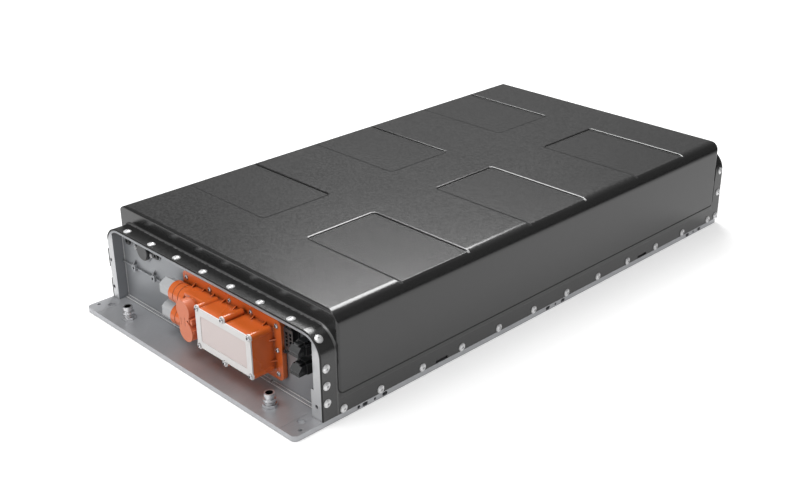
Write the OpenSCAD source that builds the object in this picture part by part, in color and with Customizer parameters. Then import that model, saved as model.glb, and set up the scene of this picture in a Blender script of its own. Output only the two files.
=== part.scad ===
// Traction battery pack for an electric vehicle.
// X runs across the pack, Y along it and away from the connector end, Z up.
// The origin is the middle of the base plate's underside.
// Lengths along the pack are measured from the connector end of the base plate.

/* [Base plate] */
// Width across the pack
plate_w = 750; // [740:5:780]
// Length along the pack
plate_l = 1460; // [1450:5:1500]
// Thickness
plate_t = 12; // [12:0.5:15]
// Radius of the plate's corners
plate_corner_r = 12; // [6:1:18]
// Diameter of the corner bolt holes
fixing_hole_d = 16.5; // [13:0.5:18]
// Distance of the corner bolt holes from the plate's sides
fixing_hole_in = 34; // [33:1:40]
// Distance of the corner bolt holes from the plate's end
fixing_hole_y = 46; // [42:1:48]
// Diameter of the locating holes
locating_hole_d = 8.5; // [6:0.5:10]
// Distance of the locating holes from the plate's side
locating_hole_in = 12.5; // [10:0.5:14]
// Distance of the locating holes from the plate's end
locating_hole_y = 25.5; // [20:0.5:26]
// Distance of the joint between plate profiles from the plate's sides
profile_joint_in = 46; // [44:1:50]
// Diameter of the side holes
side_hole_d = 8; // [5:0.5:9]
// Depth of the side holes
side_hole_depth = 14; // [8:1:18]
// Length of the side slots
side_slot_l = 14; // [10:1:18]
// Height of the side slots
side_slot_h = 8; // [6:0.5:9]
// Place of the front group of side holes
side_group_front = 208.5; // [200:1:214]
// Distance of the rear group of side holes from the plate's rear end
side_group_rear = 112.5; // [108:0.5:120]
// Distance from a side hole to the slot beside it
side_slot_offset = 27; // [24:1:32]

/* [Coolant] */
// Distance of the coolant nipples from the middle line
nipple_x = 254.5; // [248:0.5:260]
// Distance of the coolant nipples from the plate's end
nipple_y = 37.5; // [34:0.5:40]
// Outer diameter of the nipples
nipple_od = 22; // [20:0.5:23]
// Bore of the nipples
nipple_bore = 15; // [12:0.5:16]
// Height of the nipples above the plate
nipple_h = 31; // [29:1:40]
// Width across flats of the nipple's hexagon
nipple_hex = 27; // [26:1:30]
// Height of the nipple's hexagon
nipple_hex_h = 6; // [5:0.5:7]
// Diameter of the nipple's collar
nipple_collar_d = 26.5; // [25:0.5:28]
// Width of each coolant leg
channel_w = 120; // [100:5:130]
// Depth of the coolant channel
channel_depth = 5; // [4:0.5:6]
// Width of the fin along each coolant leg
channel_fin_w = 8; // [6:1:12]
// Thickness of the sheet that closes the channel
channel_cover_t = 2; // [1.5:0.25:2.5]
// Land around the coolant channel
channel_land = 15; // [12:1:18]

/* [Hood] */
// Height of the whole pack
pack_h = 234; // [232:1:245]
// Wall thickness of the hood
hood_wall = 3; // [2.5:0.25:3.5]
// Height of the arched end flanges
flange_top = 197; // [192:1:198]
// Corner radius of the arched end flanges
flange_r = 50; // [45:1:55]
// Place of the front flange's open end
flange_front = 72; // [70:1:78]
// Depth of the front flange
flange_depth_front = 42; // [40:1:44]
// Depth of the rear flange
flange_depth_rear = 35; // [34:1:38]
// Radius along the hood's long top edges
hood_edge_r = 28; // [20:1:32]
// Radius round the hood's two end faces
hood_end_r = 6; // [4:1:8]
// How far the side panels stand proud
side_panel_proud = 2; // [1:0.25:2.5]
// Height of the side panels' lower edge
side_panel_z = 48; // [46:1:52]
// Corner radius of the side panels
side_panel_r = 12; // [8:1:16]
// Radius of the gutter between end face and flange
gutter_r = 5; // [3:0.5:6]
// Height of the notches in the hood's lower edge
skirt_notch_h = 8; // [6:0.5:9]
// Length of the notches in the hood's lower edge
skirt_notch_l = 36; // [30:1:40]
// Place of the front notch in the hood's lower edge
skirt_notch_front = 400; // [396:1:404]
// Distance of the rear notch in the hood's lower edge from the plate's rear end
skirt_notch_rear = 343; // [338:1:348]
// Height of the two notches in the left end flange
flange_notch_h = 30; // [24:1:32]
// Depth of the two notches in the left end flange
flange_notch_depth = 6; // [4:1:8]

/* [Hood pads] */
// Length of each recessed pad
pad_l = 195; // [180:5:200]
// Distance of the pads' inner edge from the middle line
pad_x = 75; // [68:1:82]
// Depth of the pads
pad_depth = 2.5; // [1.5:0.25:3]
// Corner radius of the pads
pad_r = 8; // [4:1:14]

/* [Screws] */
// Diameter of the hood screws' flanged heads
screw_head_d = 18; // [15:0.5:19]
// Height of the hood screws' heads
screw_head_h = 4.5; // [4:0.25:5.5]
// Thread diameter of the hood screws
screw_d = 8; // [6:1:8]
// Thread length of the hood screws
screw_l = 14; // [12:1:15]
// Width across flats of the sockets
socket_af = 5; // [4:0.5:6]
// Height of the side screw row
side_screw_z = 21; // [20:0.5:22]
// Place of the first side screw
side_screw_first = 125; // [124:1:128]
// Place of the second side screw
side_screw_second = 224; // [220:1:228]
// Distance of the last side screw from the plate's rear end
side_screw_last = 48; // [44:1:60]
// Number of side screws on each side
side_screw_count = 12; // [10:1:12]
// Distance of the flange screws from the flange's open end
flange_screw_in = 12; // [11:0.5:13]
// Distance of the first screw on top of the flange from the plate's left side
top_screw_left = 76; // [72:1:80]
// Distance of the last screw on top of the flange from the plate's right side
top_screw_right = 98; // [96:1:102]
// Number of screws on top of the flange
top_screw_count = 7; // [5:1:7]
// Angle of the corner screw above the horizontal
corner_screw_angle = 50; // [45:1:55]

/* [End frames] */
// Thickness of the rim below the flange
rim_t = 5; // [4:0.5:7]
// Width of the posts
post_w = 21; // [19:0.5:24]
// Extra width of the right post's foot
post_step_w = 8; // [5:1:9]
// Height of the right post's foot
post_step_z = 75; // [70:1:80]
// Depth of the recess in front of the wall
recess_depth = 26; // [24:0.5:28]
// Thickness of the wall
wall_t = 6; // [5:0.5:7]
// Depth of the ledge at the wall's foot
ledge_depth = 9; // [6:1:10]
// Height of the ledge at the wall's foot
ledge_h = 5; // [4:0.5:8]
// Diameter of the weld nuts below the rim
rim_nut_d = 13; // [12:0.5:15]
// Height of the weld nuts below the rim
rim_nut_h = 5; // [4:0.5:6]
// Number of steps in the ledge at the wall's foot
ledge_steps = 3; // [2:1:3]
// Distance of the outer wall boss from the left post
boss_outer_in = 49; // [47:1:51]
// Distance of the inner wall boss from the left post
boss_inner_in = 127; // [125:1:129]
// Diameter of the wall bosses
boss_d = 17; // [15:1:18]
// Height of the wall bosses
boss_h = 9; // [8:1:10]
// Diameter of the holes in the wall bosses
boss_hole_d = 7; // [6:0.5:8]
// Height of the fins above the bosses' middle
boss_fin_h = 20; // [18:1:22]
// Height of the rib between the bosses
rib_z = 104; // [102:1:105]
// Length of the rib from the left post
rib_l = 190; // [180:5:200]
// Depth of the rib in front of the wall
rib_depth = 5; // [4:1:7]
// Gap that the hood seal fills
seal_gap = 1; // [0.75:0.25:1.5]
// Thickness of the side rails
rail_t = 14; // [13:0.5:15]
// Height of the side rails
rail_h = 30; // [26:1:34]

/* [Vent and plugs] */
// Distance of the vent from the left post
vent_in = 94; // [90:1:98]
// Height of the vent
vent_z = 160; // [158:1:162]
// Diameter of the vent cap
vent_d = 44; // [40:1:46]
// Height of the vent cap over the wall
vent_h = 9; // [7:0.5:11]
// Distance from the vent's middle to its screws
vent_screw_x = 32; // [31:0.5:34]
// Diameter of the blanking plugs
blank_d = 19; // [16:0.5:20]
// Distance of the outer blanking plug from the left post
blank_outer_in = 31; // [29:1:34]
// Distance of the inner blanking plug from the left post
blank_inner_in = 144; // [142:1:150]
// Height of the blanking plugs
blank_z = 165; // [162:1:168]

/* [High-voltage box] */
// Gap between the box's flange and the double-row header
hv_header_gap = 17; // [15:1:18]
// Width of the box's flange
hv_flange_w = 331; // [328:1:334]
// Bottom edge of the box's flange
hv_flange_bottom = 38; // [36:1:42]
// Height of the box's flange
hv_flange_h = 137; // [132:1:140]
// Thickness of the box's flange
hv_flange_t = 12; // [10:0.5:13]
// Corner radius of the box's flange
hv_flange_r = 12; // [10:1:15]
// Width of the flange on the right of the box
hv_flange_right_w = 24; // [22:0.5:26]
// Width of the box
hv_w = 184; // [180:1:186]
// Underside of the box
hv_bottom = 61; // [59:0.5:63]
// Height of the box
hv_h = 92; // [90:1:93]
// Depth of the box in front of its flange
hv_depth = 54.5; // [50:0.5:56]
// Wall thickness of the box
hv_wall = 4; // [3:0.25:4.5]
// Radius of the screw columns
hv_column_r = 8; // [7.5:0.25:9]
// Distance of the corner columns from the box's sides
hv_column_in = 5.5; // [5:0.5:8]
// Distance of the middle columns outside the box's top and underside
hv_column_out = 3; // [2:0.5:4]
// Distance of the corner columns below the box's top
hv_column_drop = 3; // [2:0.5:5]
// Thickness of the box's cover
hv_cover_t = 3; // [2:0.25:4]
// Depth of the cover's inset field
hv_inset_depth = 0.8; // [0.5:0.1:1.2]
// Length of the gussets along the pack
gusset_l = 12; // [8:0.5:14]
// Width of the gussets
gusset_w = 3; // [2:0.5:4]
// Height of the gussets
gusset_h = 6; // [4:0.5:7]
// Radius of the gland barrels
barrel_r = 24.5; // [24:0.5:25]
// How far the gland barrels reach past the box's flange
barrel_out = 1; // [0:0.5:3]
// Place of the gland axes along the pack
gland_y = 69; // [68:0.5:70]
// Height of the upper gland
gland_upper_z = 129; // [128:0.5:130]
// Distance between the glands
gland_pitch = 54; // [52:0.5:56]
// Width across flats of the gland nuts
gland_hex = 36; // [34:1:40]
// Length of the gland nuts
gland_l = 46; // [40:1:48]
// Bore of the gland nuts
gland_bore = 20; // [16:0.5:24]

/* [Service plug] */
// Radius of the plug's lobes
plug_r = 23; // [22:0.5:23.5]
// Distance between the lobes
plug_pitch = 48; // [46:0.5:50]
// Distance of the plug's middle from the box's left side
plug_out = 39; // [37:0.5:41]
// Sideways lean of the plug from its lower to its upper lobe
plug_lean = -6; // [-8:0.5:0]
// Height of the plug's middle
plug_z = 105; // [103:0.5:106]
// Thickness of the plug
plug_t = 20; // [18:0.5:21]
// Place of the plug's front face
plug_front = 25; // [24:0.5:26]

/* [Signal connectors] */
// Gap between the double-row header and the shrouded plugs
header_gap = 19; // [17:1:20]
// Width of the double-row header
header_w = 27; // [26:1:29]
// Bottom of the double-row header
header_z = 125.5; // [124:0.5:127]
// Height of the double-row header
header_h = 48; // [46:1:49]
// How far the headers stand in front of the wall
header_depth = 18; // [14:1:20]
// Size of one cavity in the double-row header
cavity = 6.5; // [5:0.5:7]
// Distance between cavities above one another
cavity_pitch = 8.6; // [8:0.2:9]
// Distance of the shrouded plugs from the right post
signal_in = 20; // [18:1:21]
// Width of the shrouded plugs
signal_w = 27; // [26:1:29]
// Height of the shrouded plugs
signal_h = 20; // [19:1:21]
// Bottom of the upper shrouded plug
signal_upper_z = 143; // [141:1:145]
// Distance between the shrouded plugs
signal_pitch = 42; // [41:1:44]
// Length of the shrouded plugs in front of the wall
signal_l = 44; // [42:1:46]

/* [Modules] */
// Number of module rows along the pack
module_rows = 3; // [3:1:3]
// Space in front of the modules
front_bay_l = 84; // [80:1:90]
// Space behind the modules
rear_bay_l = 49; // [45:1:54]
// Gap between modules along the pack
module_gap = 10; // [8:1:14]
// Gap between the modules and the side rails
module_side_gap = 7; // [5:0.5:9]
// Gap between the copper links and the hood's pads
lid_gap = 5.5; // [3:0.5:8]
// Number of cells along a module
cell_rows = 7; // [7:1:7]
// Gap between cells
cell_gap = 1; // [0.5:0.25:1]
// Thickness of a module's end plates
end_plate_t = 14; // [12:0.5:14]
// Thickness of a module's side plates
side_plate_t = 3; // [2:0.25:3]
// Gap between the two module columns
column_gap = 12; // [10:1:14]
// Thickness of the thermal pads
thermal_pad_t = 1.5; // [1:0.25:2]
// Height of a cell's terminals
terminal_h = 3; // [2:0.5:3]
// Diameter of a cell's terminals
terminal_d = 16; // [12:1:18]
// Distance of the terminals from a cell's middle
terminal_x = 55; // [50:1:60]
// Thickness of the cell busbars
busbar_t = 2.5; // [1.5:0.25:2.5]
// Wall thickness of the module covers
tray_t = 2; // [1.5:0.25:2]
// Diameter of the module bolts
module_bolt_d = 8; // [8:1:10]
// Thickness of the copper links
link_t = 3; // [2:0.25:3]
// Width of the copper links
link_w = 24; // [18:1:28]

/* [Hidden] */

$fn = 48;
cut = 1;
nipple_mouth_h = 8;

// End frames and hood
side_x = plate_w / 2;
hood_half = side_x + side_panel_proud;
wall_front = flange_front + recess_depth;
wall_back = wall_front + wall_t;
front_frame_end = flange_front + flange_depth_front - 2;
rear_frame_start = plate_l - flange_depth_rear + 2;
hood_front = flange_front + flange_depth_front;
hood_rear = plate_l - flange_depth_rear;
inner_half = side_x - hood_wall;
frame_half = inner_half - seal_gap;
frame_top = flange_top - hood_wall - seal_gap;
frame_r = flange_r - hood_wall - seal_gap;
post_inner = frame_half - post_w;
rear_wall_back = plate_l - recess_depth;
rear_wall_front = rear_wall_back - wall_t;
side_group_pitch = (plate_l - side_group_rear - side_group_front) / 2;
skirt_notch_pitch = plate_l - skirt_notch_rear - skirt_notch_front;
side_screw_pitch = (plate_l - side_screw_last - side_screw_second) / (side_screw_count - 2);
fixing_hole_x = side_x - fixing_hole_in;
profile_joint_x = side_x - profile_joint_in;
screw_y_front = flange_front + flange_screw_in;
screw_y_rear = plate_l - flange_screw_in;
top_screw_pitch = (plate_w - top_screw_left - top_screw_right) / (top_screw_count - 1);
tap_d = screw_d - 1.2;
clear_d = screw_d + 1;
right_screw_z = [51, 89.5, 128];
left_screw_z = [37, 112];
rear_screw_z = [21, 89, 149];
left_notch_z = [75, 150];
post_hole_z = 40;
post_hole_high_z = 109;
post_hole_d = 8.5;
left_post_hole_in = 5;
right_post_hole_in = 14;

// Places on the front wall
signal_x = post_inner - signal_in - signal_w;
header_x = signal_x - header_gap - header_w;
vent_x = vent_in - post_inner;
blank_x = [blank_outer_in - post_inner, blank_inner_in - post_inner];
boss_x = [boss_outer_in - post_inner, boss_inner_in - post_inner];

// Coolant channel
channel_x = nipple_x - 22;
channel_front = nipple_y - 16;
channel_rear = plate_l - 60;
cover_half = channel_x + channel_w / 2 + channel_land;
cover_front = channel_front - channel_land + 6;
cover_rear = channel_rear + channel_land;

// High-voltage box
hv_flange_front = wall_front - hv_flange_t;
hv_front = hv_flange_front - hv_depth;
hv_flange_right = header_x - hv_header_gap;
hv_flange_left = hv_flange_right - hv_flange_w;
hv_right = hv_flange_right - hv_flange_right_w;
hv_left = hv_right - hv_w;
barrel_end = hv_flange_left - barrel_out;
plug_x = hv_left - plug_out;
hv_top = hv_bottom + hv_h;
hv_mid = hv_left + hv_w / 2;
hv_flange_top = hv_flange_bottom + hv_flange_h;
hv_seal_t = 1;
hv_screw_in = 14;
hv_bottom_screw_in = 11;
hv_top_screw_x = [-26, 42, 113];
hv_right_screw_z = [14, 68];
hv_bottom_screw_x = [-109, 42];
gusset_top_x = [-78, -45, -12, 25, 64, 123, 160];
gusset_right_z = [18, 66];
hv_rear_gap = 6;
gland_lower_z = gland_upper_z - gland_pitch;
plug_back = plug_front + plug_t;
socket_front = plug_back;
socket_block_front = plug_back + 6;
socket_block_x = hv_left - 70;
barrel_ring_pitch = (socket_block_x - barrel_end + 2) / 3;
contactor_x = [hv_left + 24, hv_left + 74];
contactor_h = hv_h - 2 * hv_wall - 13;
wall_window = [hv_left + 12, hv_bottom + 12, hv_w - 24, hv_h - 24];
test_port = [header_x - 10, 111];
vent_seat_h = 2;
vent_plate_t = 2.5;
vent_neck_d = 23;
small_head_d = 11;
small_head_h = 3;
small_screw_d = 5;
shroud_l = 24;

// Modules
module_w = frame_half - rail_t - module_side_gap - column_gap / 2;
module_x = (column_gap + module_w) / 2;
module_pitch = (rear_frame_start - rear_bay_l - front_frame_end - front_bay_l) / module_rows;
module_l = module_pitch - module_gap;
cells_l = module_l - 2 * end_plate_t;
cell_w = (module_w - 2 * side_plate_t - 2) / 2;
cell_t = (cells_l - (cell_rows - 1) * cell_gap) / cell_rows;
tray_gap = 3;
cell_bottom = plate_t + thermal_pad_t;
above_cells = terminal_h + busbar_t + tray_gap + tray_t + link_t + lid_gap;
cell_h = pack_h - hood_wall - pad_depth - above_cells - cell_bottom;
cell_top = cell_bottom + cell_h;
terminal_top = cell_top + terminal_h;
busbar_top = terminal_top + busbar_t;
tray_top = busbar_top + tray_gap + tray_t;
frame_h = cell_h - 8;
bolt_x = module_w / 2 - 12;
link_post_d = 10;
link_post_y = (cells_l - cell_t) / 2 - 18;
controller_w = 106;
controller_h = 112;
controller_z = 70;
controller_x = post_inner - 124;
ear_w = 14;

module placed() {
    translate([0, -plate_l / 2, 0]) children();
}

// Extrudes an outline drawn in X and Z from y0 to y1.
module along_y(y0, y1) {
    translate([0, y1, 0])
        rotate([90, 0, 0])
            linear_extrude(y1 - y0) children();
}

// Extrudes an outline drawn in Y and Z from x0 to x1.
module along_x(x0, x1) {
    translate([x0, 0, 0])
        rotate([90, 0, 90])
            linear_extrude(x1 - x0) children();
}

module rounded_rect(w, h, r) {
    translate([r, 0]) square([w - 2 * r, h]);
    translate([0, r]) square([w, h - 2 * r]);
    for (x = [r, w - r], y = [r, h - r])
        translate([x, y]) circle(r);
}

// An outline that stands on the base plate, with two rounded upper corners.
module arch(half, top, r) {
    translate([-half, plate_t]) square([2 * half, top - plate_t - r]);
    translate([r - half, plate_t]) square([2 * (half - r), top - plate_t]);
    for (side = [-1, 1])
        translate([side * (half - r), top - r]) circle(r);
}

module slot(l, h) {
    square([l - h, h], center = true);
    for (side = [-1, 1])
        translate([side * (l - h) / 2, 0]) circle(h / 2);
}

// A flanged button-head screw: its seat is at z = 0 and its thread points down.
module button_screw(head_d, head_h, d, l) {
    difference() {
        union() {
            cylinder(d = head_d, h = 1.2);
            intersection() {
                cylinder(d = head_d - 2.4, h = head_h);
                translate([0, 0, head_h - head_d * 0.75]) sphere(head_d * 0.75, $fn = 64);
            }
            translate([0, 0, -l]) cylinder(d = d, h = l);
        }
        translate([0, 0, head_h - 2.4]) cylinder(d = socket_af / cos(30), h = 4, $fn = 6);
    }
}

// Turns a screw so that its head looks along the given axis.
module facing_right() { rotate([0, 90, 0]) children(); }
module facing_left() { rotate([0, -90, 0]) children(); }
module facing_front() { rotate([90, 0, 0]) children(); }

function side_screw_y(i) = i == 0 ? side_screw_first : side_screw_second + (i - 1) * side_screw_pitch;
function top_screw_x(i) = top_screw_left - side_x + i * top_screw_pitch;

// Base plate and coolant circuit
module plate_side_openings() {
    for (group = [0:2]) {
        y = side_group_front + group * side_group_pitch;
        translate([y, plate_t / 2]) circle(d = side_hole_d - 2);
        for (side = [-1, 1])
            translate([y + side * side_slot_offset, plate_t / 2]) slot(side_slot_l, side_slot_h);
    }
    translate([side_group_front - 44, plate_t / 2]) circle(d = side_hole_d);
}

module channel_outline() {
    for (side = [-1, 1])
        translate([side * channel_x - channel_w / 2, channel_front])
            square([channel_w, channel_rear - channel_front]);
    translate([-channel_x, channel_rear - channel_w]) square([2 * channel_x, channel_w]);
}

module base_plate() {
    color("#b9bbbe") placed() difference() {
        translate([-side_x, 0]) linear_extrude(plate_t) rounded_rect(plate_w, plate_l, plate_corner_r);
        for (side = [-1, 1]) {
            translate([side * fixing_hole_x, fixing_hole_y, -cut]) cylinder(d = fixing_hole_d, h = plate_t + 2 * cut);
            translate([side * (side_x - locating_hole_in), locating_hole_y, -cut])
                cylinder(d = locating_hole_d, h = plate_t + 2 * cut);
            translate([side * profile_joint_x - 0.4, -cut, plate_t - 0.4])
                cube([0.8, flange_front + cut, 1]);
            translate([side * nipple_x, nipple_y, 0]) cylinder(d = nipple_bore + 4, h = plate_t + cut);
        }
        along_x(side_x - side_hole_depth, side_x + cut) plate_side_openings();
        along_x(-side_x - cut, side_hole_depth - side_x) plate_side_openings();
        translate([-cover_half, cover_front, -cut])
            cube([2 * cover_half, cover_rear - cover_front, channel_cover_t + cut]);
        difference() {
            linear_extrude(channel_cover_t + channel_depth) channel_outline();
            for (side = [-1, 1])
                translate([side * channel_x - channel_fin_w / 2, nipple_y + 40, 0])
                    cube([channel_fin_w, channel_rear - channel_w - nipple_y - 60, plate_t]);
        }
        for (k = [0:5], x = [-1, 1], y = [-1, 1])
            translate([column_x(k) + x * bolt_x, row_y(k) + y * (module_l - end_plate_t) / 2, plate_t - 4])
                cylinder(d = module_bolt_d - 1.2, h = 5);
    }
}

module channel_cover() {
    color("#9a9da1") placed()
        translate([-cover_half, cover_front, 0]) cube([2 * cover_half, cover_rear - cover_front, channel_cover_t]);
}

// A hexagon, a stem, a collar, a neck and a wider mouth for the hose connector.
module coolant_nipple() {
    mouth_z = nipple_h - nipple_mouth_h;
    neck_z = mouth_z - 5;
    collar_z = neck_z - 4;
    rotate_extrude() {
        difference() {
            union() {
                translate([0, -4]) square([nipple_bore / 2 + 2, nipple_h]);
                square([nipple_od / 2 - 1, neck_z]);
                translate([0, (nipple_hex_h + collar_z) / 2 - 1]) square([nipple_od / 2 + 1, 2]);
                translate([0, collar_z]) square([nipple_collar_d / 2, 4]);
                translate([0, mouth_z - 2])
                    polygon([[0, 0], [nipple_bore / 2 + 1.5, 0], [nipple_od / 2, 2], [0, 2]]);
                translate([0, mouth_z]) square([nipple_od / 2, nipple_mouth_h]);
            }
            translate([-cut, -4 - cut]) square([nipple_bore / 2 + cut, nipple_h + 4 + 2 * cut]);
        }
    }
    difference() {
        cylinder(d = nipple_hex / cos(30), h = nipple_hex_h, $fn = 6);
        translate([0, 0, -cut]) cylinder(d = nipple_bore, h = nipple_hex_h + 2 * cut);
    }
}

module coolant_inlet() {
    color("#c6c7c9") placed() translate([-nipple_x, nipple_y, plate_t]) coolant_nipple();
}

module coolant_outlet() {
    color("#c6c7c9") placed() translate([nipple_x, nipple_y, plate_t]) coolant_nipple();
}

// End frames and side rails
module frame_opening(right_step) {
    intersection() {
        arch(frame_half - rim_t, frame_top - rim_t, frame_r - rim_t);
        difference() {
            translate([-post_inner, 0]) square([2 * post_inner, flange_top]);
            translate([post_inner - right_step, 0]) square([post_w, post_step_z]);
        }
    }
}

// Weld nuts below the rim that take the screws on top of the flange.
module rim_nuts(y) {
    for (i = [0:top_screw_count - 1])
        translate([top_screw_x(i), y, frame_top - rim_t - rim_nut_h]) cylinder(d = rim_nut_d, h = rim_nut_h + 1);
}

module top_screw_taps(y) {
    for (i = [0:top_screw_count - 1])
        translate([top_screw_x(i), y, frame_top - screw_l - 1]) cylinder(d = tap_d, h = screw_l + 2);
}

// The stepped ledge where a wall stands on the base plate, drawn from the wall face towards -Y.
module wall_ledge() {
    for (k = [1:ledge_steps]) {
        depth = ledge_depth * (ledge_steps - k + 1) / ledge_steps;
        translate([-post_inner, -depth, plate_t]) cube([2 * post_inner, depth + 1, ledge_h * k / ledge_steps]);
    }
}

module boss_with_fin(x, z) {
    translate([x, wall_front, z]) rotate([90, 0, 0]) cylinder(d = boss_d, h = boss_h);
    along_x(x - 1, x + 1)
        polygon([[wall_front, z + 6], [wall_front - boss_h + 1, z + 6], [wall_front - boss_h + 1, z + boss_d / 2 + 1],
            [wall_front, z + boss_fin_h]]);
}

// A raised ring on the wall round a blanking plug.
module plug_collar(x) {
    translate([x, wall_front, blank_z]) rotate([90, 0, 0]) difference() {
        cylinder(d = blank_d + 6, h = 2.5);
        cylinder(d = blank_d + 2, h = 4);
    }
}

module front_frame() {
    corner = [frame_half - frame_r, frame_top - frame_r];
    color("#a8aaad") placed() difference() {
        union() {
            difference() {
                along_y(flange_front, front_frame_end) arch(frame_half, frame_top, frame_r);
                along_y(flange_front - cut, wall_front) frame_opening(post_step_w);
                along_y(wall_back, front_frame_end + cut) frame_opening(0);
            }
            rim_nuts(screw_y_front);
            translate([corner[0], screw_y_front, corner[1]]) rotate([0, 90 - corner_screw_angle, 0])
                translate([0, 0, frame_r - rim_t - rim_nut_h]) cylinder(d = rim_nut_d, h = rim_nut_h + 1);
            translate([0, wall_front, 0]) wall_ledge();
            translate([-post_inner, wall_front - rib_depth, rib_z - 1.5]) cube([rib_l, rib_depth + 1, 3]);
            for (x = blank_x) plug_collar(x);
            for (x = boss_x) boss_with_fin(x, rib_z);
            translate([vent_x, wall_front, vent_z]) rotate([90, 0, 0]) cylinder(d = vent_d + 8, h = vent_seat_h);
            along_y(wall_front - vent_seat_h, wall_front)
                translate([vent_x, vent_z - 1]) slot(2 * vent_screw_x + 14, 14);
        }
        translate([hv_right - 30, wall_front - ledge_depth * (1 - 1 / ledge_steps), plate_t + ledge_h / ledge_steps])
            cube([6, ledge_depth * (1 - 1 / ledge_steps) - 0.5, ledge_h]);
        top_screw_taps(screw_y_front);
        for (z = right_screw_z)
            translate([frame_half - screw_l - 1, screw_y_front, z]) facing_right() cylinder(d = tap_d, h = screw_l + 2);
        for (z = left_screw_z)
            translate([screw_l + 1 - frame_half, screw_y_front, z]) facing_left() cylinder(d = tap_d, h = screw_l + 2);
        translate([corner[0], screw_y_front, corner[1]]) rotate([0, 90 - corner_screw_angle, 0])
            translate([0, 0, frame_r - screw_l - 1]) cylinder(d = tap_d, h = screw_l + 2);
        for (x = boss_x)
            translate([x, wall_front - boss_h - cut, rib_z]) rotate([-90, 0, 0]) cylinder(d = boss_hole_d, h = boss_h + cut + 3);
        for (z = [post_hole_z, post_hole_high_z])
            translate([left_post_hole_in - frame_half, flange_front - cut, z]) rotate([-90, 0, 0]) cylinder(d = post_hole_d, h = 10);
        translate([frame_half - right_post_hole_in, flange_front - cut, post_hole_z]) rotate([-90, 0, 0]) cylinder(d = post_hole_d, h = 10);
        translate([vent_x, wall_front - 4, vent_z]) rotate([-90, 0, 0])
            cylinder(d = vent_neck_d + 1, h = wall_t + 8);
        for (side = [-1, 1])
            translate([vent_x + side * vent_screw_x, wall_front - vent_seat_h - cut, vent_z - 1])
                rotate([-90, 0, 0]) cylinder(d = 3.8, h = 8);
        for (x = blank_x)
            translate([x, wall_front - 4, blank_z]) rotate([-90, 0, 0]) cylinder(d = 12, h = wall_t + 8);
        along_y(wall_front - cut, wall_back + cut)
            translate([wall_window[0], wall_window[1]]) square([wall_window[2], wall_window[3]]);
        along_y(wall_front - cut, wall_back + cut) at_hv_flange_screws() circle(d = small_screw_d - 0.8);
        along_y(wall_front - cut, wall_back + cut) signal_wall_holes();
        translate([test_port[0], wall_front - cut, test_port[1]]) rotate([-90, 0, 0]) cylinder(d = 6, h = 4);
        controller_screw_places() translate([0, 0, -15]) cylinder(d = 4.2, h = 10);
    }
}

module rear_frame() {
    color("#a8aaad") placed() difference() {
        union() {
            difference() {
                along_y(rear_frame_start, plate_l) arch(frame_half, frame_top, frame_r);
                along_y(rear_wall_back, plate_l + cut) frame_opening(0);
                along_y(rear_frame_start - cut, rear_wall_front) frame_opening(0);
            }
            rim_nuts(screw_y_rear);
            translate([0, rear_wall_back, 0]) mirror([0, 1, 0]) wall_ledge();
        }
        for (side = [-1, 1], z = rear_screw_z)
            translate([side * frame_half, screw_y_rear, z]) rotate([0, side * 90, 0])
                translate([0, 0, -screw_l - 1]) cylinder(d = tap_d, h = screw_l + 2);
        top_screw_taps(screw_y_rear);
    }
}

module side_rail() {
    difference() {
        translate([frame_half - rail_t, front_frame_end, plate_t])
            cube([rail_t, rear_frame_start - front_frame_end, rail_h]);
        for (i = [0:side_screw_count - 1])
            translate([frame_half + 1, side_screw_y(i), side_screw_z]) facing_left() cylinder(d = tap_d, h = rail_t);
    }
}

module side_rail_right() {
    color("#b0b2b5") placed() side_rail();
}

module side_rail_left() {
    color("#b0b2b5") placed() mirror([1, 0, 0]) side_rail();
}

// Hood
module hood_section(half, top, r) {
    translate([-half, side_panel_z]) square([2 * half, top - side_panel_z - r]);
    translate([r - half, side_panel_z]) square([2 * (half - r), top - side_panel_z]);
    for (side = [-1, 1])
        translate([side * (half - r), top - r]) circle(r);
}

// The hood's main body, drawn smaller by inset for its hollow.
module hood_block(inset) {
    end_r = hood_end_r - inset / 2;
    l = hood_rear - hood_front - 2 * inset;
    intersection() {
        along_y(hood_front + inset, hood_rear - inset)
            hood_section(hood_half - inset, pack_h - inset, hood_edge_r - inset);
        translate([inset - hood_half, hood_front + inset, 0])
            linear_extrude(pack_h) rounded_rect(2 * (hood_half - inset), l, end_r);
        along_x(-hood_half, hood_half)
            hood_side_outline(hood_front + inset, side_panel_z + inset, l, pack_h - side_panel_z - 2 * inset, end_r);
    }
}

// The side view of the main body, with small upper and larger lower corners.
module hood_side_outline(y, z, l, h, r) {
    translate([y, z + side_panel_r]) square([l, h - side_panel_r - r]);
    translate([y + side_panel_r, z]) square([l - 2 * side_panel_r, side_panel_r + 1]);
    for (dy = [side_panel_r, l - side_panel_r])
        translate([y + dy, z + side_panel_r]) circle(side_panel_r);
    translate([y + r, z + h - r - 1]) square([l - 2 * r, r + 1]);
    for (dy = [r, l - r])
        translate([y + dy, z + h - r]) circle(r);
}

// The concave gutter where an end face meets its flange.
module gutter(y, direction) {
    intersection() {
        union() {
            along_x(-side_x + flange_r, side_x - flange_r)
                gutter_section(y, flange_top, direction);
            for (side = [-1, 1])
                translate([side * (side_x - flange_r), y, flange_top - flange_r])
                    rotate([-90, 0, 0])
                        rotate_extrude() translate([flange_r, 0]) mirror([0, direction < 0 ? 1 : 0])
                            gutter_corner();
        }
        along_y(min(y, y + direction * gutter_r), max(y, y + direction * gutter_r))
            hood_section(hood_half, pack_h, hood_edge_r);
    }
}

module gutter_corner() {
    difference() {
        translate([-1, 0]) square([gutter_r + 1, gutter_r]);
        translate([gutter_r, gutter_r]) circle(gutter_r);
    }
}

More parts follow.
